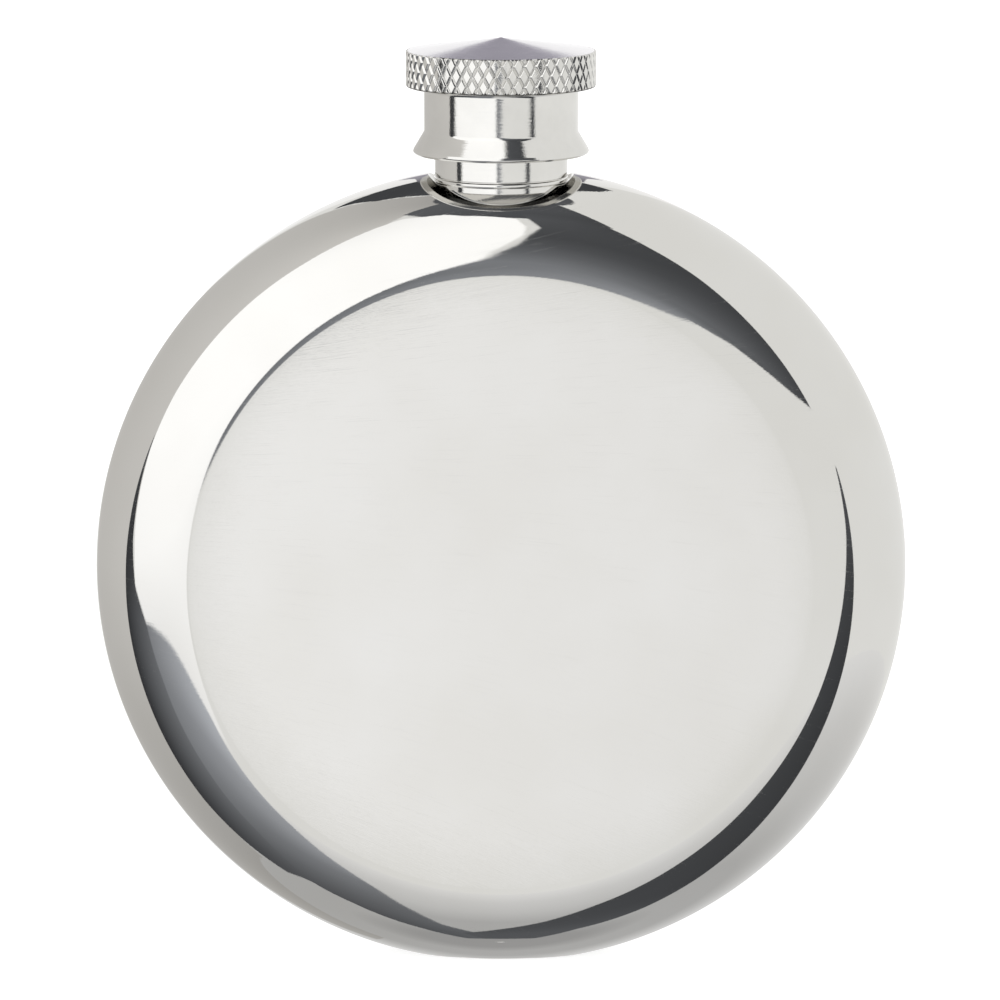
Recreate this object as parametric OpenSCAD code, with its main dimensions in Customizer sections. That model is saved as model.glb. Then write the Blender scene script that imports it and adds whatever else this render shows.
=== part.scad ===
// Round hip flask: two pressed half shells welded face to face, a turned neck
// spout on a flat seat, and a turned screw cap with a sealing disc inside.
// Z is up, the foot stands on z = 0, the front face looks towards -Y.

/* [Body] */
// Diameter of the round body
body_d = 85; // [80:1:92]
// Thickness of the body between its two flat faces
body_t = 18.4; // [18:0.2:19.2]
// Diameter of each flat face
face_d = 64.6; // [64:0.2:65.4]
// Radius of the rim's section along its outermost line
rim_r = 7.4; // [7:0.1:7.8]
// Thickness of the pressed sheet
wall = 0.7; // [0.5:0.1:0.9]
// Depth of the flat foot, taken off the bottom of the round outline
foot_depth = 1.1; // [0.8:0.1:1.4]
// Depth of the flat seat under the neck, taken off the top of the round outline
seat_depth = 1.5; // [1.4:0.1:1.6]
// Diameter of the flat seat
seat_d = 15.2; // [14.8:0.2:16]

/* [Neck] */
// Outside diameter of the plain neck
neck_d = 13.76; // [13.6:0.04:13.9]
// Bore that the drink pours through
neck_bore_d = 9.6; // [9.2:0.2:10]
// Bore of the spigot under the neck
throat_d = 8.4; // [8:0.1:8.6]
// Diameter of the spigot that passes through the shells
spigot_d = 9.4; // [9.2:0.1:9.6]
// Height of the whole neck above its seat
neck_h = 9.76; // [9.6:0.06:9.84]
// Diameter of the bead around the neck's foot
bead_d = 13.98; // [13.9:0.02:14.2]

/* [Thread] */
// Advance of the cap in one turn
pitch = 1.5; // [1.4:0.1:1.6]
// Diameter over the crests of the neck's thread
thread_d = 13.7; // [13.5:0.05:13.8]
// Diameter at the roots of the neck's thread
thread_root_d = 12.5; // [12.3:0.05:12.6]
// Number of turns of the neck's thread
thread_turns = 2.75; // [2:0.25:3]
// Gap between the neck's and the cap's thread, across and along
thread_gap = 0.15; // [0.1:0.01:0.2]

/* [Cap] */
// Gap between the cap's lip and the seat of the neck
lip_gap = 2.92; // [2.7:0.02:3.1]
// Diameter of the plain skirt
skirt_d = 16; // [15.8:0.1:16.4]
// Diameter of the flared lip
lip_d = 18.3; // [17.8:0.1:19]
// Height from the lip to the underside of the knurled rim
skirt_h = 6.94; // [6.8:0.02:7.2]
// Diameter of the knurled rim
knurl_d = 19.7; // [19:0.1:21]
// Height of the knurled rim
knurl_h = 3.71; // [3.5:0.01:4]
// Rise of the cap's conical top
cone_h = 1.33; // [1:0.01:1.6]
// Number of knurl grooves in each direction
knurl_count = 52; // [30:2:60]
// Depth of the knurl grooves
knurl_depth = 0.2; // [0.1:0.01:0.3]
// Slant of the knurl grooves
knurl_slant = 29; // [20:1:35]

/* [Seal] */
// Thickness of the sealing disc
seal_t = 1.2; // [1:0.1:1.4]
// Diameter of the sealing disc
seal_d = 14.2; // [13.9:0.1:14.3]

/* [Hidden] */
$fn = 128;

steel = [0.78, 0.78, 0.76];
cap_steel = [0.74, 0.73, 0.71];
silicone = [0.88, 0.88, 0.86];

// Body: the rim's section is a small arc at the outermost line, running into
// a larger arc that ends on the flat face.
body_r = body_d / 2;
half_t = body_t / 2;
face_r = face_d / 2;
centre_z = body_r - foot_depth;
rim_c = body_r - rim_r;
shoulder_r = (pow(rim_c - face_r, 2) / (half_t - rim_r) + half_t + rim_r) / 2;
seat_z = centre_z + body_r - seat_depth;
far = 2 * body_d;

// Neck: the spigot drops into the body, the bead stands in front of a small
// undercut, and the plain part ends in a shoulder below the thread.
neck_r = neck_d / 2;
spigot_drop = 1.7;
throat_h = 0.6;
throat_cone = 0.6;
neck_top = seat_z + neck_h;
core_r = thread_root_d / 2;
crest_r = thread_d / 2;
thread_start = seat_z + 4.85;
shoulder_z = seat_z + 4.2;
bead_r = 0.28;
undercut = 0.2;
neck_bevel = 0.3;

// Cap: the flare runs from the lip up to flare_z, where the plain skirt starts
lip_z = seat_z + lip_gap;
knurl_z = lip_z + skirt_h;
rim_top_z = knurl_z + knurl_h;
skirt_r = skirt_d / 2;
lip_r = lip_d / 2;
lip_wall = 0.85;
lip_round = 0.2;
flare_z = lip_z + 2.3;
flare_round = 0.2;
knurl_r = knurl_d / 2;
knurl_bevel = 0.1;
top_bevel = 0.16;
cap_bore_r = core_r + thread_gap + 0.05;
groove_r = crest_r + thread_gap + 0.05;
mouth_r = groove_r + 0.15;
bore_bevel = 0.3;
mouth_over = 1;

// Seal: a sliding fit in its pocket, with the faces just clear of each other
seal_play = 0.1;
face_gap = 0.02;
seal_z = neck_top + face_gap;
pocket_r = seal_d / 2 + seal_play;
pocket_top = seal_z + seal_t + face_gap;

// Thread section: width of the tooth at its root and at its crest. The tooth
// is sunk into the wall behind it, and fades over the last steps at each end.
tooth_root_w = 0.62 * pitch;
tooth_crest_w = 0.24 * pitch;
turn_steps = 40;
fade_steps = 6;
neck_sink = 0.3;
cap_sink = 0.4;
cap_lead = 0.75;
cap_tail = 0.25;

// Knurl groove: half the angle of the V, how far the cutter stands proud of
// the rim, and how much longer it is than the rim is high
groove_angle = 38;
cutter_proud = 0.4;
cutter_over = 2;

// Half of the body's section in the plane of its axis, drawn with the axis
// along Y: both arcs on the outside, flat face at the end. inset moves the
// whole outline inwards by that distance.
module half_section(inset) {
    shoulder = shoulder_r - inset;
    rim = rim_r - inset;
    t = half_t - inset;
    join = rim_c + rim * (rim_c - face_r) / (shoulder - rim);
    intersection() {
        union() {
            translate([0, -t]) square([face_r, 2 * t]);
            intersection() {
                translate([face_r, half_t - shoulder_r]) circle(shoulder);
                translate([face_r, shoulder_r - half_t]) circle(shoulder);
                translate([face_r, -t]) square([body_r, 2 * t]);
            }
        }
        union() {
            translate([0, -t]) square([join, 2 * t]);
            translate([rim_c, 0]) circle(rim);
        }
        square([body_r + 1, t]);
    }
}

// The section turned about the body's axis, on the side that side points to
module dish(inset, side) {
    translate([0, 0, centre_z])
        rotate([side * 90, 0, 0])
            rotate_extrude() half_section(inset);
}

// One half of the outside form, with the foot and the neck seat pressed flat
module half_form(side) {
    difference() {
        dish(0, side);
        translate([-far / 2, -far / 2, -far]) cube([far, far, far]);
        translate([0, 0, seat_z]) cylinder(d = seat_d, h = far);
    }
}

// The hollow inside that half, one sheet thickness further in
module half_hollow(side) {
    difference() {
        dish(wall, side);
        translate([-far / 2, -far / 2, wall - far]) cube([far, far, far]);
        translate([0, 0, seat_z - wall]) cylinder(d = seat_d + 2 * wall, h = far);
    }
}

module half_shell(side) {
    difference() {
        half_form(side);
        half_hollow(side);
        translate([0, 0, centre_z]) cylinder(d = spigot_d, h = far);
    }
}

module front_shell() {
    color(steel) half_shell(1);
}

module back_shell() {
    color(steel) half_shell(-1);
}

// A thread tooth wound about Z from z0 upwards. root and crest are radii, and
// grow widens the tooth on every side. The tooth fades in and out at its ends.
module thread_tooth(z0, turns, root, crest, core, grow) {
    steps = ceil(turns * turn_steps);
    half_root = tooth_root_w / 2 + grow;
    half_crest = tooth_crest_w / 2 + grow;
    function ramp(i) = min(1, (i + 0.5) / fade_steps, (steps - i + 0.5) / fade_steps);
    function ring(i) =
        let (a = 360 * turns * i / steps,
             z = z0 + pitch * turns * i / steps,
             top = core + (crest - core) * ramp(i))
        [for (p = [[root, -half_root], [top, -half_crest], [top, half_crest], [root, half_root]])
            [p[0] * cos(a), p[0] * sin(a), z + p[1]]];
    points = [for (i = [0:steps]) each ring(i)];
    sides = [for (i = [0:steps - 1], k = [0:3])
        let (a = 4 * i + k, b = 4 * i + (k + 1) % 4)
        each [[a, b, a + 4], [b, b + 4, a + 4]]];
    last = 4 * steps;
    ends = [[0, 2, 1], [0, 3, 2], [last, last + 1, last + 2], [last, last + 2, last + 3]];
    polyhedron(points, concat(sides, ends));
}

// Turned neck: spigot through the shells, bead on the seat, plain neck, thread
module neck_spout() {
    color(cap_steel) {
        difference() {
            union() {
                rotate_extrude() polygon([
                    [0, seat_z - spigot_drop],
                    [spigot_d / 2, seat_z - spigot_drop],
                    [spigot_d / 2, seat_z],
                    [neck_r - undercut, seat_z],
                    [neck_r - undercut, seat_z + bead_r],
                    [neck_r, seat_z + 2 * bead_r],
                    [neck_r, shoulder_z],
                    [core_r, shoulder_z + neck_bevel],
                    [core_r, neck_top - neck_bevel],
                    [core_r - neck_bevel, neck_top],
                    [0, neck_top]
                ]);
                rotate_extrude()
                    translate([bead_d / 2 - bead_r, seat_z + bead_r]) circle(bead_r);
                thread_tooth(thread_start, thread_turns, core_r - neck_sink, crest_r, core_r, 0);
            }
            rotate_extrude() polygon([
                [0, centre_z],
                [throat_d / 2, centre_z],
                [throat_d / 2, seat_z + throat_h],
                [neck_bore_d / 2, seat_z + throat_h + throat_cone],
                [neck_bore_d / 2, neck_top + neck_h],
                [0, neck_top + neck_h]
            ]);
        }
    }
}

// One straight V groove across the knurled rim, leaning to the side given
module knurl_groove(side) {
    cut = knurl_depth + cutter_proud;
    half_w = cut * tan(groove_angle);
    translate([knurl_r - knurl_depth, 0, knurl_z + knurl_h / 2])
        rotate([side * knurl_slant, 0, 0])
            linear_extrude(height = knurl_h + cutter_over, center = true)
                polygon([[0, 0], [cut, -half_w], [cut, half_w]]);
}

// Outside of the cap: flared lip, plain skirt, rim, shallow cone
module cap_form() {
    rotate_extrude() polygon([
        [0, lip_z],
        [lip_r - lip_round, lip_z],
        [lip_r - lip_round / 5, lip_z + 0.6 * lip_round],
        [lip_r, lip_z + 1.3 * lip_round],
        [lip_r - 0.4 * lip_round, lip_z + 2.45 * lip_round],
        [skirt_r + flare_round, flare_z - 2.4 * flare_round],
        [skirt_r + flare_round / 4, flare_z - flare_round],
        [skirt_r, flare_z],
        [skirt_r, knurl_z],
        [knurl_r - knurl_bevel, knurl_z],
        [knurl_r, knurl_z + knurl_bevel],
        [knurl_r, rim_top_z - top_bevel],
        [knurl_r - top_bevel, rim_top_z],
        [0, rim_top_z + cone_h]
    ]);
}

// Hollow of the cap: flared mouth, thread bore, seal pocket
module cap_hollow() {
    rotate_extrude() polygon([
        [0, lip_z - mouth_over],
        [lip_r - lip_wall, lip_z - mouth_over],
        [lip_r - lip_wall, lip_z],
        [mouth_r, flare_z - 2 * bore_bevel],
        [mouth_r, flare_z],
        [cap_bore_r, flare_z + bore_bevel],
        [cap_bore_r, neck_top - bore_bevel],
        [pocket_r, neck_top],
        [pocket_r, pocket_top],
        [0, pocket_top]
    ]);
}

// The cap's thread carries on down to its mouth, on the neck thread's helix
module cap_groove() {
    rotate([0, 0, -360 * cap_lead])
        thread_tooth(thread_start - pitch * cap_lead, thread_turns + cap_lead + cap_tail,
            cap_bore_r - cap_sink, groove_r, cap_bore_r, thread_gap);
}

module cap_shell() {
    color(cap_steel)
    difference() {
        cap_form();
        cap_hollow();
        cap_groove();
        for (i = [0:knurl_count - 1], side = [-1, 1])
            rotate([0, 0, 360 * i / knurl_count]) knurl_groove(side);
    }
}

module cap_gasket() {
    color(silicone)
    translate([0, 0, seal_z]) cylinder(d = seal_d, h = seal_t);
}

front_shell();
back_shell();
neck_spout();
cap_shell();
cap_gasket();
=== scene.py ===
"""Round polished hip flask with a knurled screw cap, in a white studio.

Every size is in millimetres until it becomes a vertex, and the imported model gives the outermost
sizes. The flask is mirror polished, so the studio is built as cards on large spheres round it:
what shows on the metal is the cards' outlines.
"""

import math

import bpy
import numpy as np
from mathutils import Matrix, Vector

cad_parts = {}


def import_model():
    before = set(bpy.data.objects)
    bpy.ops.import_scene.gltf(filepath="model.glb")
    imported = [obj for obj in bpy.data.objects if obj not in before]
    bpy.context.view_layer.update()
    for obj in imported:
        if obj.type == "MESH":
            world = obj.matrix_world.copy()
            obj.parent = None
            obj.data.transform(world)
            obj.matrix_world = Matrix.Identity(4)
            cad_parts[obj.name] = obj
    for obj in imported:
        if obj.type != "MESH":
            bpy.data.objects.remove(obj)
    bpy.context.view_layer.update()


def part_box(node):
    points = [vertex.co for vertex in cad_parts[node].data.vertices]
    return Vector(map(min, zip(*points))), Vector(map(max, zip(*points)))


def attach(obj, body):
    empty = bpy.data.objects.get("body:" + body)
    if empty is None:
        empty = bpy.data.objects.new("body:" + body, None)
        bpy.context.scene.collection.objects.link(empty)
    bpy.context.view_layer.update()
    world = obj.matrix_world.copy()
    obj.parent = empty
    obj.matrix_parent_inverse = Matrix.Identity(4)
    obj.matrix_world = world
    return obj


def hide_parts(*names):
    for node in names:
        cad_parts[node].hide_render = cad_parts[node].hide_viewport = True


MM = 0.001

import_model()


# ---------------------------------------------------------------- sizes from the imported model


def node_size(node):
    """Lowest and highest corner of a CAD node, in millimetres."""
    low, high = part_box(node)
    return np.array(low) / MM, np.array(high) / MM


shell_low, shell_high = node_size("front_shell")
neck_low, neck_high = node_size("neck_spout")
cap_low, cap_high = node_size("cap_shell")
seal_low, seal_high = node_size("cap_gasket")

# body: half its thickness, its outline, the height of its axis, its flat face, the rim's section
# at the outermost line, the neck's seat with the width of its edge, the sheet, the hole for the
# spigot, and the width of the pressed bends
HALF_T = -shell_low[1]
BODY_R = shell_high[0]
CENTRE_Z = 41.4
FACE_R = 32.3
RIM_R = 7.4
SEAT_Z = 82.4
SEAT_R = 7.6
SEAT_EDGE = 0.6
WALL = 0.7
HOLE_R = 4.75
FOOT_BEND = 0.12
SEAT_BEND = 0.10

# neck: outside, thread roots, bore, throat, spigot, foot below the seat, and the bead round it
NECK_R = 6.88
CORE_R = 6.25
BORE_R = 4.8
THROAT_R = 4.2
SPIGOT_R = 4.7
FOOT_R = 6.72
FOOT_DROP = 0.6
BEAD_R = 6.98
NECK_BEVEL = 0.3

# thread: pitch, height of its start and of the neck's shoulder over the seat, turns, tooth height,
# and half the tooth's width at its root and at its crest
PITCH = 1.5
THREAD_START = SEAT_Z + 4.85
SHOULDER_Z = SEAT_Z + 4.2
THREAD_TURNS = 2.75
TOOTH_H = 0.6
TOOTH = (0.46, 0.18)

# cap: heights of the lip, the flare, the knurl's underside and its top, and the radii
LIP_Z = cap_low[2]
FLARE_Z = LIP_Z + 2.3
KNURL_Z = LIP_Z + 6.94
RIM_TOP_Z = KNURL_Z + 3.71
LIP_R = 9.15
SKIRT_R = 8.0
MOUTH_R = 8.3
KNURL_R = 9.84
POCKET_R = 7.2
CAP_BORE_R = 6.45
CAP_GAP = 0.15
CAP_LEAD = 0.75
CAP_TAIL = 0.25

# knurl: grooves each way, their depth and half width, and the tangent of their slant
KNURL_COUNT = 52
KNURL_DEPTH = 0.2
KNURL_HALF_W = 0.2
KNURL_SLANT = math.tan(math.radians(29))


# ---------------------------------------------------------------- meshes


def grid_mesh(name, points, material, body, node, normals, grain=None, keep=None):
    """A piece from a grid of points, rows along the first axis and the last row joined to the first.
    keep says which points hold a face."""
    rows, cols = points.shape[:2]
    cur = np.arange(rows * cols).reshape(rows, cols)
    nxt = np.roll(cur, -1, axis=0)
    faces = np.stack([cur[:, :-1], nxt[:, :-1], nxt[:, 1:], cur[:, 1:]], axis=-1).reshape(-1, 4)
    if keep is not None:
        faces = faces[keep.reshape(-1)[faces].all(axis=1)]
    mesh = bpy.data.meshes.new(name)
    mesh.from_pydata((points.reshape(-1, 3) * MM).tolist(), [], faces.tolist())
    mesh.update()
    mesh.shade_smooth()
    mesh.normals_split_custom_set_from_vertices(normals.reshape(-1, 3).tolist())
    if grain is not None:
        layer = mesh.uv_layers.new(name="grain")
        loops = np.empty(len(mesh.loops), dtype=np.int32)
        mesh.loops.foreach_get("vertex_index", loops)
        layer.data.foreach_set("uv", grain.reshape(-1, 2)[loops].astype(np.float32).ravel())
    mesh.materials.append(material)
    piece = bpy.data.objects.new(name, mesh)
    bpy.context.scene.collection.objects.link(piece)
    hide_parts(node)
    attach(piece, body)
    return piece


def grid_normals(points):
    """Normals of a grid of points by central differences. Where an edge has shrunk to a point it
    takes the normals beside it."""
    du = np.roll(points, -1, axis=0) - np.roll(points, 1, axis=0)
    dv = np.gradient(points, axis=1)
    n = np.cross(du, dv)
    length = np.linalg.norm(n, axis=-1, keepdims=True)
    n = n / np.maximum(length, 1e-12)
    for edge, beside in ((0, 1), (-1, -2)):
        if length[:, edge].max() < 1e-9:
            n[:, edge] = n[:, beside]
    return n


def rounded(corners, step=12.0):
    """A polyline through (r, z, radius) corners, each rounded by its radius, and its unit tangents.
    step is the turn of each chord, in degrees."""
    pts, tans = [], []
    p = [np.array(c[:2], float) for c in corners]
    for i, c in enumerate(corners):
        if i == 0 or i == len(corners) - 1:
            a = p[1] - p[0] if i == 0 else p[-1] - p[-2]
            pts.append(p[i])
            tans.append(a / np.linalg.norm(a))
            continue
        a, b = p[i] - p[i - 1], p[i + 1] - p[i]
        la, lb = np.linalg.norm(a), np.linalg.norm(b)
        a, b = a / la, b / lb
        turn = math.atan2(a[0] * b[1] - a[1] * b[0], a @ b)
        if abs(turn) < 1e-6:
            pts.append(p[i])
            tans.append(a)
            continue
        cut = min(c[2] * math.tan(abs(turn) / 2), 0.49 * la, 0.49 * lb)
        radius = cut / math.tan(abs(turn) / 2)
        side = math.copysign(1, turn)
        start = p[i] - a * cut
        normal = np.array([-a[1], a[0]]) * side
        centre = start + normal * radius
        steps = max(2, math.ceil(math.degrees(abs(turn)) / step))
        for k in range(steps + 1):
            t = turn * k / steps
            rot = np.array([[math.cos(t), -math.sin(t)], [math.sin(t), math.cos(t)]])
            pts.append(centre - rot @ normal * radius)
            tans.append(rot @ a)
    return np.array(pts), np.array(tans)


def spin(profile, tangents, turns):
    """Points and outward normals of a profile of (r, z) turned about Z. The solid lies left of the
    profile's run."""
    a = np.linspace(0, 2 * math.pi, turns, endpoint=False)[:, None]
    r, z = profile[None, :, 0], profile[None, :, 1]
    points = np.stack([r * np.cos(a), r * np.sin(a), z + 0 * a], axis=-1)
    nr, nz = tangents[None, :, 1], -tangents[None, :, 0]
    normals = np.stack([nr * np.cos(a), nr * np.sin(a), nz + 0 * a], axis=-1)
    return points, normals


def turned_grain(points):
    """Grain coordinates of a turned surface: along the tool marks, and across them."""
    r = np.hypot(points[..., 0], points[..., 1])
    step = np.linalg.norm(np.diff(points, axis=1), axis=-1)
    across = np.concatenate([np.zeros((points.shape[0], 1)), np.cumsum(step, axis=1)], axis=1)
    angle = np.unwrap(np.arctan2(points[..., 1], points[..., 0]), axis=0)
    return np.stack([angle * 8.0 + 0 * r, across], axis=-1)


# ---------------------------------------------------------------- materials


class Nodes:
    """Short calls for a material's node tree."""

    def __init__(self, name):
        self.material = bpy.data.materials.new(name)
        self.material.use_nodes = True
        self.tree = self.material.node_tree
        self.shader = self.tree.nodes["Principled BSDF"]

    def add(self, kind, settings=None, **inputs):
        node = self.tree.nodes.new(kind)
        for key, value in (settings or {}).items():
            setattr(node, key, value)
        for key, value in inputs.items():
            self.put(node.inputs[key.replace("_", " ")], value)
        return node

    def put(self, socket, value):
        if isinstance(value, bpy.types.NodeSocket):
            self.tree.links.new(value, socket)
        else:
            socket.default_value = value

    def math(self, operation, a, b=0.0):
        node = self.tree.nodes.new("ShaderNodeMath")
        node.operation = operation
        self.put(node.inputs[0], a)
        self.put(node.inputs[1], b)
        return node.outputs[0]

    def scaled(self, vector, scale):
        node = self.tree.nodes.new("ShaderNodeVectorMath")
        node.operation = "MULTIPLY"
        self.put(node.inputs[0], vector)
        node.inputs[1].default_value = scale
        return node.outputs[0]

    def noise(self, vector, scale, detail=2.0, roughness=0.5):
        node = self.add("ShaderNodeTexNoise", Vector=vector, Scale=scale, Detail=detail)
        node.inputs["Roughness"].default_value = roughness
        return node.outputs["Fac"]

    def remap(self, value, low, high, to_low, to_high):
        node = self.tree.nodes.new("ShaderNodeMapRange")
        self.put(node.inputs["Value"], value)
        node.inputs["From Min"].default_value = low
        node.inputs["From Max"].default_value = high
        node.inputs["To Min"].default_value = to_low
        node.inputs["To Max"].default_value = to_high
        return node.outputs["Result"]

    def blend(self, factor, a, b):
        node = self.tree.nodes.new("ShaderNodeMix")
        node.data_type = "RGBA"
        self.put(node.inputs[0], factor)
        self.put(node.inputs[6], a)
        self.put(node.inputs[7], b)
        return node.outputs[2]

    def bump(self, height, strength, distance, normal=None):
        node = self.add("ShaderNodeBump", Height=height, Strength=strength, Distance=distance)
        if normal is not None:
            self.tree.links.new(normal, node.inputs["Normal"])
        return node.outputs["Normal"]


def polished_steel(name):
    """Mirror-buffed stainless sheet: fine buffing strokes, faint mottling, a few hairline scratches."""
    n = Nodes(name)
    grain = n.add("ShaderNodeUVMap", {"uv_map": "grain"}).outputs["UV"]
    place = n.add("ShaderNodeTexCoord").outputs["Object"]
    strokes = n.noise(n.scaled(grain, (0.5, 8.0, 1.0)), 1.0, 4.0, 0.7)
    hairs = n.noise(n.scaled(grain, (0.12, 26.0, 1.0)), 1.0, 2.0, 0.5)
    mottle = n.noise(place, 55.0, 3.0, 0.5)
    haze = n.remap(strokes, 0.42, 0.72, 0.005, 0.022)
    rough = n.math("MAXIMUM", haze, n.remap(hairs, 0.62, 0.74, 0.0, 0.20))
    n.put(n.shader.inputs["Roughness"], rough)
    warmer, lighter = (0.715, 0.705, 0.68, 1), (0.745, 0.738, 0.72, 1)
    colour = n.blend(n.remap(mottle, 0.35, 0.65, 0.0, 1.0), warmer, lighter)
    n.put(n.shader.inputs["Base Color"], colour)
    n.shader.inputs["Metallic"].default_value = 1.0
    height = n.math("ADD", strokes, n.math("MULTIPLY", hairs, 0.35))
    n.put(n.shader.inputs["Normal"], n.bump(height, 0.03, 0.00002))
    return n.material


def turned_steel(name, rough_low=0.04, rough_high=0.11, tint=(0.72, 0.712, 0.69, 1)):
    """Lathe-turned stainless: rings of tool marks along the grain, small pits and a soft sheen."""
    n = Nodes(name)
    grain = n.add("ShaderNodeUVMap", {"uv_map": "grain"}).outputs["UV"]
    place = n.add("ShaderNodeTexCoord").outputs["Object"]
    rings = n.noise(n.scaled(grain, (0.15, 5.0, 1.0)), 1.0, 4.0, 0.7)
    specks = n.noise(place, 2600.0, 2.0, 0.6)
    mottle = n.noise(place, 260.0, 3.0, 0.55)
    rough = n.remap(n.math("ADD", rings, n.math("MULTIPLY", mottle, 0.5)), 0.5, 1.0, rough_low, rough_high)
    n.put(n.shader.inputs["Roughness"], rough)
    lighter = tuple(min(1.0, c * 1.06) for c in tint[:3]) + (1,)
    n.put(n.shader.inputs["Base Color"], n.blend(n.remap(mottle, 0.35, 0.65, 0.0, 1.0), tint, lighter))
    n.shader.inputs["Metallic"].default_value = 1.0
    normal = n.bump(rings, 0.2, 0.00003)
    n.put(n.shader.inputs["Normal"], n.bump(specks, 0.12, 0.00003, normal))
    return n.material


def silicone(name):
    """Translucent white moulded silicone."""
    n = Nodes(name)
    place = n.add("ShaderNodeTexCoord").outputs["Object"]
    cloud = n.noise(place, 400.0, 3.0, 0.5)
    n.put(n.shader.inputs["Base Color"], n.blend(cloud, (0.78, 0.78, 0.75, 1), (0.86, 0.86, 0.84, 1)))
    n.put(n.shader.inputs["Roughness"], n.remap(cloud, 0.3, 0.7, 0.42, 0.58))
    n.shader.inputs["Subsurface Weight"].default_value = 0.15
    n.shader.inputs["Subsurface Radius"].default_value = (0.002, 0.002, 0.0018)
    n.shader.inputs["Subsurface Scale"].default_value = 0.5
    n.put(n.shader.inputs["Normal"], n.bump(n.noise(place, 3000.0, 2.0), 0.08, 0.00003))
    return n.material


# ---------------------------------------------------------------- body shells


def shell_rows():
    """Outside section of one half from the face's middle to the weld plane, as rows of (r, y, angle
    of the normal)."""
    rim_c = BODY_R - RIM_R
    shoulder = ((rim_c - FACE_R) ** 2 / (HALF_T - RIM_R) + HALF_T + RIM_R) / 2
    join = math.asin((rim_c - FACE_R) / (shoulder - RIM_R))
    face = [(r, HALF_T, 0.0) for r in np.linspace(0.0, FACE_R - 0.6, 60)]
    arc = [
        (FACE_R + shoulder * math.sin(t), HALF_T - shoulder + shoulder * math.cos(t), t)
        for t in np.linspace(0.0, join, 110)
    ]
    rim = [
        (rim_c + RIM_R * math.sin(t), RIM_R * math.cos(t), t) for t in np.linspace(join, math.pi / 2, 90)[1:]
    ]
    return np.array(face + arc + rim)


def shell_profile():
    """The section's (r, y) points."""
    return shell_rows()[:, :2]


def shell_turn():
    """The section's outward normals."""
    t = shell_rows()[:, 2]
    return np.stack([np.sin(t), np.cos(t)], axis=-1)


def soft_floor(value, level, width):
    """value kept above level, with the bend eased over width."""
    d = value - level
    return np.where(d > width, value, np.where(d < -width, level, level + (d + width) ** 2 / (4 * width)))


def crowded_angles():
    """Angles round the body, closer together at the foot and at the neck's seat, where it has small
    features."""
    coarse, fine = math.radians(0.35), math.radians(0.06)
    angles, a = [], 0.0
    while a < 2 * math.pi - 1e-9:
        angles.append(a)
        near_seat = abs(math.degrees(a) - 90) < 14
        near_foot = 9 < abs(math.degrees(a) - 270) < 17
        a += fine if near_seat or near_foot else coarse
    return np.array(angles)


def press_seat(points, inset):
    """Presses the flat foot and the flat, round neck seat into points of the round body, inset
    further inwards."""
    out = points.copy()
    out[..., 2] = soft_floor(points[..., 2], inset, FOOT_BEND)
    across = np.hypot(points[..., 0], points[..., 1])
    inside = np.clip((SEAT_R - across) / SEAT_EDGE, 0.0, 1.0)
    inside = inside * inside * (3 - 2 * inside)
    top = points[..., 2] > CENTRE_Z
    pressed = -soft_floor(-points[..., 2], -SEAT_Z + inset, SEAT_BEND)
    out[..., 2] = np.where(top, points[..., 2] * (1 - inside) + pressed * inside, out[..., 2])
    return out


def body_shell(node, side, material):
    """One pressed half shell, outside and inside. side is -1 for the front, 1 for the back."""
    outer = shell_profile()
    inner = outer[::-6] - WALL * shell_turn()[::-6]
    a = crowded_angles()[:, None]
    profile = np.concatenate([outer, inner])
    r, y = profile[None, :, 0], profile[None, :, 1]
    points = np.stack([r * np.cos(a), side * y + 0 * a, CENTRE_Z + r * np.sin(a)], axis=-1)
    if side < 0:
        points = points[::-1]
    n_outer = len(outer)
    points[:, :n_outer] = press_seat(points[:, :n_outer], 0.0)
    points[:, n_outer:] = press_seat(points[:, n_outer:], WALL)
    normals = np.concatenate([grid_normals(points[:, :n_outer]), grid_normals(points[:, n_outer:])], axis=1)
    x, z = points[..., 0], points[..., 2] - CENTRE_Z
    across = z * np.exp(-0.45 * x / BODY_R) + 0.15 * x
    grain = np.stack([x + 0.18 * z, across], axis=-1)
    over_hole = (np.hypot(points[..., 0], points[..., 1]) < HOLE_R) & (points[..., 2] > CENTRE_Z)
    return grid_mesh(
        node + "_skin", points, material, "flask", node, normals, grain, ~over_hole
    )


# ---------------------------------------------------------------- neck, cap, seal


def thread_lift(angle, z, start, turns, tooth):
    """How far a helical tooth stands out at (angle, z), from 0 to 1."""
    turn = angle / (2 * math.pi)
    along = (z - start) / PITCH - turn
    whole = np.round(along)
    off = np.abs(along - whole) * PITCH
    at = whole + turn
    fade = np.clip(np.minimum(at, turns - at) * 6, 0.0, 1.0)
    return fade * np.clip((tooth[0] - off) / (tooth[0] - tooth[1]), 0.0, 1.0)


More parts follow.
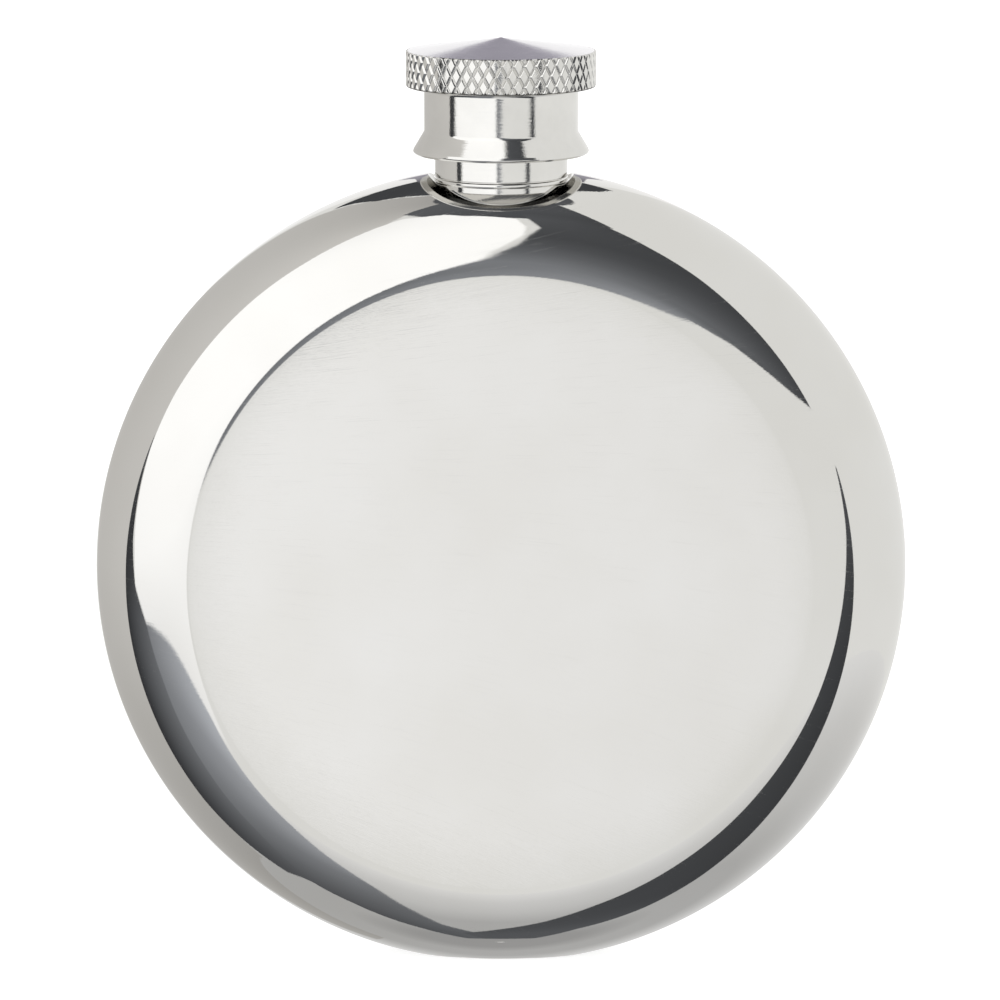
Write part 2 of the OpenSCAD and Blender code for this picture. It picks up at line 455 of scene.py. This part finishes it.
def neck_piece(material):
    """Turned neck with its foot bead, plain collar, thread, mouth and bore."""
    low, top, turns = neck_low[2], neck_high[2], 384
    collar, collar_t = rounded(
        [
            (THROAT_R, low, 0),
            (SPIGOT_R, low, 0.1),
            (SPIGOT_R, SEAT_Z - FOOT_DROP, 0.02),
            (FOOT_R, SEAT_Z - FOOT_DROP, 0.05),
            (FOOT_R, SEAT_Z, 0.05),
            (BEAD_R, SEAT_Z + 0.14, 0.14),
            (BEAD_R, SEAT_Z + 0.42, 0.16),
            (NECK_R - 0.08, SEAT_Z + 0.58, 0.05),
            (NECK_R, SEAT_Z + 0.66, 0.05),
            (NECK_R, SHOULDER_Z, 0.12),
            (CORE_R, SHOULDER_Z + NECK_BEVEL, 0.05),
        ]
    )
    lower, lower_n = spin(collar, collar_t, turns)
    angle = np.linspace(0, 2 * math.pi, turns, endpoint=False)[:, None]
    z = np.linspace(SHOULDER_Z + NECK_BEVEL, top - NECK_BEVEL, 110)[None, 1:]
    r = CORE_R + TOOTH_H * thread_lift(angle, z, THREAD_START, THREAD_TURNS, TOOTH)
    threaded = np.stack([r * np.cos(angle), r * np.sin(angle), z + 0 * angle], axis=-1)
    mouth, mouth_t = rounded(
        [
            (CORE_R, top - NECK_BEVEL, 0),
            (CORE_R, top - NECK_BEVEL + 0.02, 0.02),
            (CORE_R - NECK_BEVEL, top, 0.1),
            (BORE_R + 0.25, top, 0.15),
            (BORE_R, top - 0.25, 0.15),
            (BORE_R, SEAT_Z + 1.2, 0.1),
            (THROAT_R, SEAT_Z + 0.6, 0.1),
            (THROAT_R, low, 0),
        ]
    )
    upper, upper_n = spin(mouth, mouth_t, turns)
    points = np.concatenate([lower, threaded, upper], axis=1)
    normals = np.concatenate([lower_n, grid_normals(threaded), upper_n], axis=1)
    grain = turned_grain(points)
    return grid_mesh(
        "neck_collar", points, material, "flask", "neck_spout", normals, grain
    )


def cap_mesh(name, points, normals, material):
    """One piece of the cap."""
    grain = turned_grain(points)
    return grid_mesh(name, points, material, "cap", "cap_shell", normals, grain)


def cap_piece(material):
    """Cap skirt: flared lip, plain skirt, cove and underside of the knurled rim."""
    profile, tangents = rounded(
        [
            (POCKET_R, FLARE_Z, 0),
            (POCKET_R, FLARE_Z - 0.6, 0.1),
            (MOUTH_R, LIP_Z + 0.02, 0.06),
            (LIP_R - 0.20, LIP_Z, 0.05),
            (LIP_R, LIP_Z + 0.22, 0.18),
            (LIP_R - 0.09, LIP_Z + 0.52, 0.18),
            (SKIRT_R, FLARE_Z, 0.75),
            (SKIRT_R, KNURL_Z, 0.45),
            (KNURL_R - 0.12, KNURL_Z, 0.05),
            (KNURL_R - 0.04, KNURL_Z + 0.08, 0.05),
        ],
        8.0,
    )
    points, normals = spin(profile, tangents, 512)
    return cap_mesh("cap_skirt", points, normals, material)


def knurl_piece(material):
    """Diamond-knurled rim of the cap: two crossing sets of V grooves rolled into the band."""
    low, high = KNURL_Z + 0.08, RIM_TOP_Z
    turns, rows = KNURL_COUNT * 28, 84
    angle = np.linspace(0, 2 * math.pi, turns, endpoint=False)[:, None]
    z = np.linspace(low, high, rows)[None, :]
    step = 2 * math.pi / KNURL_COUNT
    lean = KNURL_SLANT * (z - (low + high) / 2) / KNURL_R

    def groove(side):
        phase = ((angle + side * lean) / step) % 1.0
        off = np.abs(phase - 0.5) * step * KNURL_R
        return np.clip(1 - off / KNURL_HALF_W, 0.0, 1.0)

    cut = np.maximum(groove(1), groove(-1))
    edge = np.clip(np.minimum(z - low, high - z) / 0.14, 0.0, 1.0)
    r = KNURL_R - KNURL_DEPTH * cut - 0.10 * (1 - edge) ** 2
    points = np.stack([r * np.cos(angle), r * np.sin(angle), z + 0 * angle], axis=-1)
    return cap_mesh("cap_knurl", points, grid_normals(points), material)


def cap_top_piece(material):
    """Shallow turned cone on top of the cap."""
    profile, tangents = rounded(
        [
            (KNURL_R - 0.08, RIM_TOP_Z - 0.05, 0),
            (KNURL_R - 0.18, RIM_TOP_Z, 0.1),
            (0.02, cap_high[2], 0),
        ],
        6.0,
    )
    inner = np.linspace(profile[-2], profile[-1], 60)[1:]
    profile = np.concatenate([profile[:-1], inner])
    tangents = np.concatenate([tangents[:-1], np.repeat(tangents[-1:], len(inner), axis=0)])
    points, normals = spin(profile, tangents, 512)
    return cap_mesh("cap_top", points, normals, material)


def cap_inside_piece(material):
    """Inside of the cap: seal pocket, and the bore with its thread groove down to the mouth."""
    pocket_z, pocket_top, turns = neck_high[2], seal_high[2] + 0.02, 384
    pocket, pocket_t = rounded(
        [
            (0.02, pocket_top, 0),
            (POCKET_R, pocket_top, 0.1),
            (POCKET_R, pocket_z, 0.05),
            (CAP_BORE_R, pocket_z - NECK_BEVEL, 0),
        ]
    )
    upper, upper_n = spin(pocket, pocket_t, turns)
    angle = np.linspace(0, 2 * math.pi, turns, endpoint=False)[:, None]
    z = np.linspace(pocket_z - NECK_BEVEL, FLARE_Z, 100)[None, 1:]
    lift = thread_lift(
        angle + 2 * math.pi * CAP_LEAD,
        z,
        THREAD_START - PITCH * CAP_LEAD,
        THREAD_TURNS + CAP_LEAD + CAP_TAIL,
        (TOOTH[0] + CAP_GAP, TOOTH[1] + CAP_GAP),
    )
    mouth_cone = np.clip((FLARE_Z + NECK_BEVEL - z) / NECK_BEVEL, 0.0, 1.0)
    r = CAP_BORE_R + np.maximum(TOOTH_H * lift, (POCKET_R - CAP_BORE_R) * mouth_cone)
    threaded = np.stack([r * np.cos(angle), r * np.sin(angle), z + 0 * angle], axis=-1)
    points = np.concatenate([upper, threaded], axis=1)
    normals = np.concatenate([upper_n, grid_normals(threaded)], axis=1)
    return cap_mesh("cap_inside", points, normals, material)


def seal_piece(material):
    """Sealing disc inside the cap."""
    low, high, r = seal_low[2], seal_high[2], seal_high[0]
    outline = [(0.02, low, 0), (r, low, 0.15), (r, high, 0.15), (0.02, high, 0)]
    profile, tangents = rounded(outline)
    points, normals = spin(profile, tangents, 128)
    return grid_mesh("seal_disc", points, material, "seal", "cap_gasket", normals)


# ---------------------------------------------------------------- studio


def direction(azimuth, elevation):
    """Unit vector towards a compass point: azimuth 0 is behind the flask, 90 to its right, 180 at
    the camera."""
    a, e = math.radians(azimuth), math.radians(elevation)
    return np.array([math.sin(a) * math.cos(e), math.cos(a) * math.cos(e), math.sin(e)])


def glow(tint):
    """Emission whose strength is each vertex's own level."""
    name = "studio_glow_%d_%d_%d" % tuple(round(100 * c) for c in tint)
    if name in bpy.data.materials:
        return bpy.data.materials[name]
    material = bpy.data.materials.new(name)
    material.use_nodes = True
    tree = material.node_tree
    tree.nodes.clear()
    level = tree.nodes.new("ShaderNodeAttribute")
    level.attribute_name = "level"
    light = tree.nodes.new("ShaderNodeEmission")
    light.inputs["Color"].default_value = (*tint, 1)
    out = tree.nodes.new("ShaderNodeOutputMaterial")
    tree.links.new(level.outputs["Fac"], light.inputs["Strength"])
    tree.links.new(light.outputs[0], out.inputs["Surface"])
    return material


def card(name, radius, rows, tint=(1.0, 1.0, 1.0)):
    """A studio card on a sphere round the flask, its radius in metres. Each row is (elevation, azimuth
    from, azimuth to, level from, level to), in degrees and in multiples of white. Nearer cards
    stand in front of farther ones."""
    columns = 25
    verts, levels = [], []
    for elevation, start, end, level_start, level_end in rows:
        for k in range(columns):
            t = k / (columns - 1)
            spot = direction(start + (end - start) * t, elevation) * radius
            verts.append((spot[0], spot[1], spot[2] + CENTRE_Z * MM))
            levels.append(level_start + (level_end - level_start) * t)
    faces = [
        (i * columns + k, i * columns + k + 1, (i + 1) * columns + k + 1, (i + 1) * columns + k)
        for i in range(len(rows) - 1)
        for k in range(columns - 1)
    ]
    mesh = bpy.data.meshes.new(name)
    mesh.from_pydata(verts, [], faces)
    mesh.attributes.new("level", "FLOAT", "POINT").data.foreach_set("value", levels)
    mesh.materials.append(glow(tint))
    piece = bpy.data.objects.new(name, mesh)
    bpy.context.scene.collection.objects.link(piece)
    piece.visible_camera = False
    return piece


# tints of the cards
COOL = (0.93, 0.97, 1.05)
WARM = (1.02, 1.0, 0.97)


def world():
    """Even, nearly white light from everywhere."""
    sky = bpy.data.worlds.new("studio_world")
    bpy.context.scene.world = sky
    sky.use_nodes = True
    background = sky.node_tree.nodes["Background"]
    background.inputs["Color"].default_value = (0.93, 0.93, 0.915, 1)
    background.inputs["Strength"].default_value = 1.0


def cards():
    """The cards whose outlines the polished steel shows."""
    # the table's own light below the horizon
    card(
        "studio_table_glow",
        14.0,
        [
            (-22, 0, 360, 0.90, 0.90),
            (-32, 0, 360, 0.76, 0.76),
            (-45, 0, 360, 0.66, 0.66),
            (-58, 0, 360, 0.52, 0.52),
            (-70, 0, 360, 0.52, 0.52),
            (-80, 0, 360, 0.40, 0.40),
            (-89.5, 0, 360, 0.40, 0.40),
        ],
    )
    # grey wall on the left, lighter beside the softbox
    card(
        "studio_wall_left",
        13.2,
        [
            (78, 240, 306, 0.46, 0.46),
            (70, 238, 312, 0.60, 0.50),
            (60, 230, 319, 0.74, 0.54),
            (50, 240, 325, 0.74, 0.58),
            (40, 246, 330, 0.73, 0.60),
            (30, 250, 334, 0.72, 0.61),
            (20, 252, 337, 0.71, 0.61),
            (10, 254, 340, 0.70, 0.61),
            (0, 254, 347, 0.70, 0.61),
            (-10, 255, 336, 0.70, 0.60),
            (-20, 258, 337, 0.66, 0.56),
            (-32, 260, 342, 0.58, 0.52),
            (-45, 262, 346, 0.50, 0.48),
            (-57, 264, 338, 0.44, 0.44),
        ],
        WARM,
    )
    # white backdrop behind the flask
    card(
        "studio_backdrop",
        12.8,
        [
            (56, -18, 20, 1.00, 1.00),
            (45, -19, 19, 1.05, 1.05),
            (30, -20, 17, 1.08, 1.08),
            (20, -20, 14, 1.08, 1.08),
            (10, -17, 11, 1.08, 1.08),
            (0, -11, 7, 1.08, 1.08),
            (-10, -10, 12, 1.08, 1.08),
            (-18, -14, 12, 1.08, 1.08),
            (-25, -5, 3, 1.08, 1.08),
            (-45, -4, 3, 1.08, 1.08),
        ],
    )
    # grey drape above the backdrop, which the cap's cone mirrors
    card(
        "studio_drape_back",
        12.2,
        [
            (16.5, -7, 7, 0.70, 0.70),
            (18, -8, 8, 0.42, 0.42),
            (30, -10, 10, 0.38, 0.38),
            (46, -16, 16, 0.20, 0.20),
        ],
        (0.97, 0.94, 1.06),
    )
    # dark ceiling in front, over the softbox, and behind
    card(
        "studio_ceiling_front",
        12.4,
        [
            (60, 138, 186, 0.09, 0.10),
            (66, 136, 214, 0.09, 0.12),
            (70, 134, 241, 0.10, 0.14),
            (80, 120, 250, 0.10, 0.14),
        ],
        COOL,
    )
    card(
        "studio_ceiling",
        13.6,
        [(77, 0, 360, 0.12, 0.12), (83, 0, 360, 0.12, 0.12), (89.5, 0, 360, 0.12, 0.12)],
        COOL,
    )
    card(
        "studio_ceiling_back",
        12.4,
        [
            (38, -28, -25, 0.07, 0.07),
            (48, -33, 24, 0.07, 0.07),
            (58, -40, 30, 0.07, 0.07),
            (80, -60, 50, 0.09, 0.09),
        ],
        COOL,
    )
    # softbox, upper left of the camera
    card(
        "studio_softbox",
        12.0,
        [
            (67, 205, 229, 1.30, 1.20),
            (64, 195, 233, 1.33, 1.22),
            (59, 175, 237, 1.35, 1.25),
            (50, 174, 243, 1.36, 1.32),
            (40, 176, 250, 1.36, 1.36),
            (30, 179, 254, 1.36, 1.36),
            (20, 181, 257, 1.36, 1.34),
            (10, 181.5, 257, 1.36, 1.33),
            (0, 184.3, 254, 1.36, 1.28),
            (-4, 186, 252, 1.33, 1.26),
            (-7.5, 187.5, 250, 1.30, 1.25),
            (-11, 185.5, 249, 1.22, 1.20),
            (-13, 186, 248, 1.15, 1.18),
            (-17.5, 190, 246, 1.05, 1.10),
        ],
    )
    # dark flag, upper right of the camera, fading towards its lower right corner
    card(
        "studio_flag_upper",
        11.6,
        [
            (66, 137, 172, 0.085, 0.11),
            (60, 140, 171, 0.085, 0.12),
            (50, 138, 170.5, 0.08, 0.10),
            (40, 134.5, 175, 0.075, 0.09),
            (30, 133, 177.5, 0.075, 0.12),
            (20, 131.5, 180, 0.08, 0.18),
            (13, 131, 181, 0.08, 0.24),
            (11, 150, 181.5, 0.12, 0.26),
            (9, 160, 182, 0.18, 0.28),
            (5, 168, 183, 0.30, 0.26),
            (0, 173, 184.5, 0.38, 0.22),
            (-4, 177, 186.2, 0.36, 0.22),
            (-7.5, 180.5, 187.7, 0.30, 0.22),
            (-9.5, 184, 186.4, 0.28, 0.24),
        ],
        COOL,
    )
    # dark flag low on the right
    card(
        "studio_flag_right",
        11.6,
        [
            (4, 129.5, 130.5, 0.10, 0.10),
            (-5, 129.0, 134.5, 0.09, 0.09),
            (-10, 128.5, 138.5, 0.07, 0.08),
            (-20, 127, 146.5, 0.06, 0.07),
            (-30, 125, 154, 0.055, 0.075),
            (-40, 123, 159.5, 0.06, 0.075),
            (-50, 121, 165, 0.06, 0.08),
            (-60, 120, 170, 0.065, 0.09),
            (-68, 122, 180, 0.09, 0.10),
            (-76, 136, 200, 0.12, 0.12),
            (-84, 136, 200, 0.12, 0.12),
        ],
        COOL,
    )
    # dark flag low on the left, black at its outer edge and grey-blue inwards
    card(
        "studio_flag_left_edge",
        11.2,
        [
            (12, 257.7, 258.3, 0.15, 0.15),
            (5, 256.5, 260.0, 0.07, 0.07),
            (-5, 253.8, 262.0, 0.05, 0.05),
            (-12, 249, 263.0, 0.08, 0.05),
            (-17, 238, 264.0, 0.16, 0.045),
            (-24, 232, 265.0, 0.20, 0.04),
            (-35, 228, 266.0, 0.20, 0.04),
            (-46, 226, 266.5, 0.17, 0.05),
            (-54, 230, 262.0, 0.14, 0.07),
            (-60, 236, 254.0, 0.12, 0.10),
        ],
        COOL,
    )
    card(
        "studio_flag_left",
        11.6,
        [
            (-17, 192, 248, 0.60, 0.20),
            (-20, 192, 246, 0.56, 0.22),
            (-25, 192, 246, 0.44, 0.22),
            (-30, 193, 246, 0.40, 0.22),
            (-40, 194, 246, 0.26, 0.21),
            (-50, 196, 243, 0.21, 0.14),
            (-58, 197, 238, 0.18, 0.12),
            (-66, 198, 230, 0.17, 0.11),
            (-76, 190, 224, 0.16, 0.11),
            (-84, 190, 224, 0.16, 0.12),
        ],
        COOL,
    )

    # the round fill card that the flat face mirrors, straight across from it at the camera's angle
    centre, half_height, half_width = -11.6, 3.35, 3.5
    edge = [math.radians(t) for t in range(90, -91, -10)]
    card(
        "studio_fill_face",
        10.8,
        [
            (
                centre + half_height * math.sin(t),
                180 - half_width * math.cos(t),
                180 + half_width * math.cos(t),
                1.02,
                1.10,
            )
            for t in edge
        ],
    )


def floor():
    """Plain white floor that lights the flask from below and isn't mirrored in it."""
    side = 6.0
    corners = [(-side, -side, 0), (side, -side, 0), (side, side, 0), (-side, side, 0)]
    mesh = bpy.data.meshes.new("studio_floor")
    mesh.from_pydata(corners, [], [(0, 1, 2, 3)])
    n = Nodes("studio_floor_white")
    n.shader.inputs["Base Color"].default_value = (0.9, 0.9, 0.9, 1)
    n.shader.inputs["Roughness"].default_value = 0.9
    n.shader.inputs["Emission Color"].default_value = (1, 1, 1, 1)
    n.shader.inputs["Emission Strength"].default_value = 0.72
    mesh.materials.append(n.material)
    ground = bpy.data.objects.new("studio_floor", mesh)
    bpy.context.scene.collection.objects.link(ground)
    ground.visible_glossy = False


def camera():
    """Long lens a little above the flask's middle, looking slightly down."""
    looking_down = 10.79
    data = bpy.data.cameras.new("camera")
    data.sensor_width = 36
    data.lens = 192.35
    data.clip_start, data.clip_end = 0.01, 50
    eye = bpy.data.objects.new("camera", data)
    eye.location = (-0.0001, -0.550, 0.15354)
    eye.rotation_euler = (math.radians(90 - looking_down), 0, 0)
    bpy.context.scene.collection.objects.link(eye)
    bpy.context.scene.camera = eye


# ---------------------------------------------------------------- the scene

steel = polished_steel("steel_polished")
turned = turned_steel("steel_turned")
# the cap's cone: the same turned steel as the skirt, tinted darker and purple-grey as a painted reflection
cone = turned_steel("steel_cone_painted_reflection", 0.05, 0.12, (0.66, 0.645, 0.66, 1))
rubber = silicone("silicone_white")

body_shell("front_shell", -1, steel)
body_shell("back_shell", 1, steel)
neck_piece(turned)
cap_piece(turned)
cap_inside_piece(turned)
knurl_piece(turned)
cap_top_piece(cone)
seal_piece(rubber)
world()
cards()
floor()
camera()
bpy.context.scene.view_settings.view_transform = "Standard"
